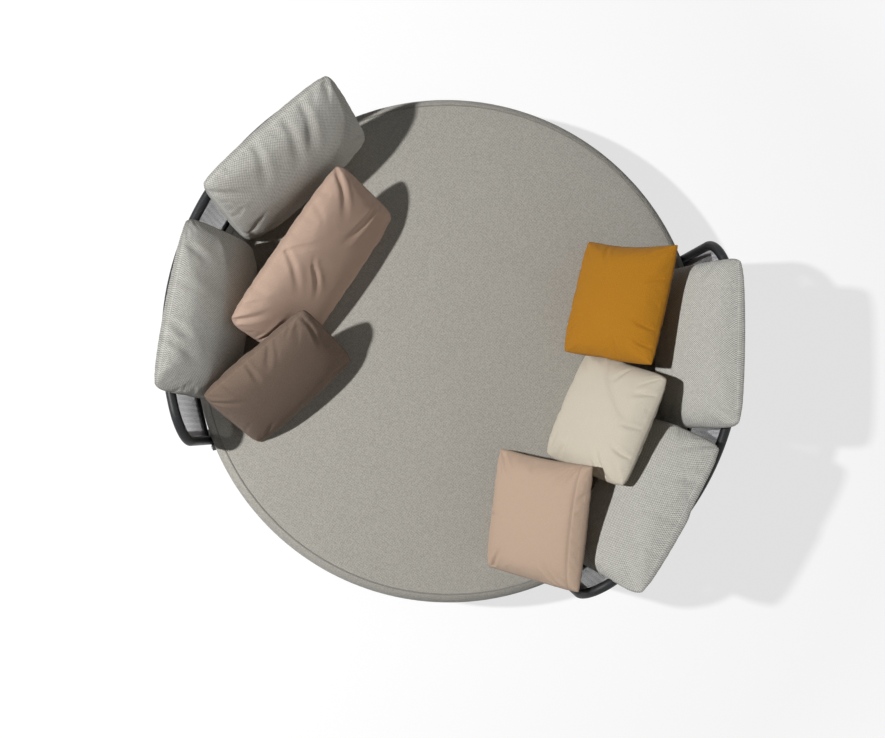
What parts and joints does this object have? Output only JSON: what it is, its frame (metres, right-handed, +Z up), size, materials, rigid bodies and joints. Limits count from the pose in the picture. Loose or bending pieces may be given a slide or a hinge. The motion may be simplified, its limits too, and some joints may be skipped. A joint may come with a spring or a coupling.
{
  "type": "daybed",
  "caption": "Round outdoor daybed with one round mattress on a tube frame, two curved mesh backrests at opposite sides, back cushions and loose throw pillows.",
  "frame": {"origin": "on the floor under the middle of the daybed, at the underside of the middle leg's glide", "axes": "+Z up, X through the middles of both backrests with +X to the backrest that carries the ochre, cream and beige pillows' side, +Y to the left of +X along the line where the two frame halves meet"},
  "size_m": [2.3898, 2.239, 0.8454],
  "materials": {
    "coated_steel": "satin",
    "slat_wood": "matte",
    "rubber": "matte",
    "zinc_steel": "satin",
    "back_mesh": "matte",
    "foam": "matte",
    "mattress_cover": "matte",
    "back_cushion_cover": "matte",
    "peach_cover": "matte",
    "brown_cover": "matte",
    "ochre_cover": "satin",
    "cream_cover": "matte",
    "beige_cover": "matte"
  },
  "bodies": {
    "frame": {"base_frame_east": "coated_steel", "base_frame_west": "coated_steel", "east_leg_1": "coated_steel", "east_leg_2": "coated_steel", "east_leg_3": "coated_steel", "east_leg_4": "coated_steel", "west_leg_1": "coated_steel", "west_leg_2": "coated_steel", "west_leg_3": "coated_steel", "west_leg_4": "coated_steel", "middle_leg": "coated_steel", "leg_glides": "rubber", "leg_inserts": "zinc_steel", "leg_bolts": "zinc_steel", "joining_bolts": "zinc_steel", "joining_nuts": "zinc_steel", "east_slat_1": "slat_wood", "east_slat_2": "slat_wood", "east_slat_3": "slat_wood", "east_slat_4": "slat_wood", "east_slat_5": "slat_wood", "east_slat_6": "slat_wood", "east_slat_7": "slat_wood", "west_slat_1": "slat_wood", "west_slat_2": "slat_wood", "west_slat_3": "slat_wood", "west_slat_4": "slat_wood", "west_slat_5": "slat_wood", "west_slat_6": "slat_wood", "west_slat_7": "slat_wood", "frame_screws": "zinc_steel", "east_top_rail": "coated_steel", "east_side_posts": "coated_steel", "east_lower_rail": "coated_steel", "east_back_mesh": "back_mesh", "east_brackets": "coated_steel", "east_bracket_bolts": "zinc_steel", "west_top_rail": "coated_steel", "west_side_posts": "coated_steel", "west_lower_rail": "coated_steel", "west_back_mesh": "back_mesh", "west_brackets": "coated_steel", "west_bracket_bolts": "zinc_steel", "post_plugs": "rubber"},
    "mattress": {"mattress_core": "foam", "mattress_top_panel": "mattress_cover", "mattress_side_band": "mattress_cover", "mattress_bottom_panel": "mattress_cover", "mattress_piping": "mattress_cover"},
    "east_cushion_upper": {"east_back_cushion_upper": "back_cushion_cover"},
    "east_cushion_lower": {"east_back_cushion_lower": "back_cushion_cover"},
    "west_cushion_upper": {"west_back_cushion_upper": "back_cushion_cover"},
    "west_cushion_lower": {"west_back_cushion_lower": "back_cushion_cover"},
    "peach": {"peach_pillow": "peach_cover"},
    "brown": {"brown_pillow": "brown_cover"},
    "cream": {"cream_pillow": "cream_cover"},
    "ochre": {"ochre_pillow": "ochre_cover"},
    "beige": {"beige_pillow": "beige_cover"}
  },
  "joints": [
    {"name": "mattress_lift", "type": "slide", "parent": "frame", "child": "mattress", "axis": [0, 0, 1], "range_m": [0, 0.3]},
    {"name": "east_cushion_upper_lift", "type": "slide", "parent": "mattress", "child": "east_cushion_upper", "axis": [0.2913, 0.1032, 0.9511], "range_m": [0, 0.45]},
    {"name": "east_cushion_lower_lift", "type": "slide", "parent": "mattress", "child": "east_cushion_lower", "axis": [0.3052, -0.0483, 0.9511], "range_m": [0, 0.45]},
    {"name": "west_cushion_upper_lift", "type": "slide", "parent": "mattress", "child": "west_cushion_upper", "axis": [-0.2789, 0.133, 0.9511], "range_m": [0, 0.45]},
    {"name": "west_cushion_lower_lift", "type": "slide", "parent": "mattress", "child": "west_cushion_lower", "axis": [-0.3141, -0.0645, 0.9472], "range_m": [0, 0.45]},
    {"name": "peach_lift", "type": "slide", "parent": "mattress", "child": "peach", "axis": [0, 0, 1], "range_m": [0, 0.4]},
    {"name": "brown_lift", "type": "slide", "parent": "peach", "child": "brown", "axis": [0, 0, 1], "range_m": [0, 0.4]},
    {"name": "cream_lift", "type": "slide", "parent": "mattress", "child": "cream", "axis": [0, 0, 1], "range_m": [0, 0.4]},
    {"name": "ochre_lift", "type": "slide", "parent": "cream", "child": "ochre", "axis": [0, 0, 1], "range_m": [0, 0.4]},
    {"name": "beige_lift", "type": "slide", "parent": "cream", "child": "beige", "axis": [0, 0, 1], "range_m": [0, 0.4]}
  ]
}
